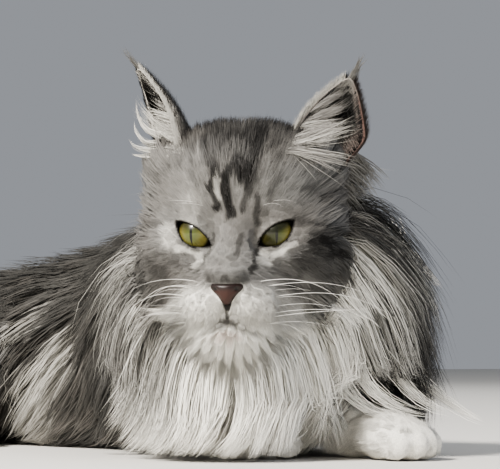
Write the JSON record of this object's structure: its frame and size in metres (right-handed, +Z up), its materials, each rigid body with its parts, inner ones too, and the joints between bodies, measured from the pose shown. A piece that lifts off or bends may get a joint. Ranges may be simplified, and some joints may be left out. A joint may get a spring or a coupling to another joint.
{
  "type": "maine coon cat",
  "caption": "Life-size long-haired cat lying on its chest, head turned to its right, with a full ruff, tufted ears and the tail curled round its side.",
  "frame": {"origin": "middle of the belly, on the floor the cat lies on", "axes": "+Z up, +Y from the chest to the tail, +X to the cat's left"},
  "size_m": [0.3213, 0.5991, 0.2354],
  "materials": {
    "coat_silver_tabby": "soft long fur, silver with dark brown-black bands",
    "coat_white": "soft long white fur",
    "nose_leather": "slightly moist, fine grained",
    "eye_yellow_green": "wet and clear, with a narrow upright pupil"
  },
  "bodies": {
    "root": {"head": "coat_silver_tabby", "nose": "nose_leather", "eye_left": "eye_yellow_green", "eye_right": "eye_yellow_green", "ear_left": "coat_silver_tabby", "ear_right": "coat_silver_tabby", "neck": "coat_white", "torso": "coat_silver_tabby", "foreleg_left": "coat_white", "foreleg_right": "coat_white", "hindleg_left": "coat_silver_tabby", "hindleg_right": "coat_silver_tabby", "tail_1": "coat_silver_tabby", "tail_2": "coat_silver_tabby", "tail_3": "coat_silver_tabby", "tail_4": "coat_silver_tabby"}
  },
  "joints": []
}
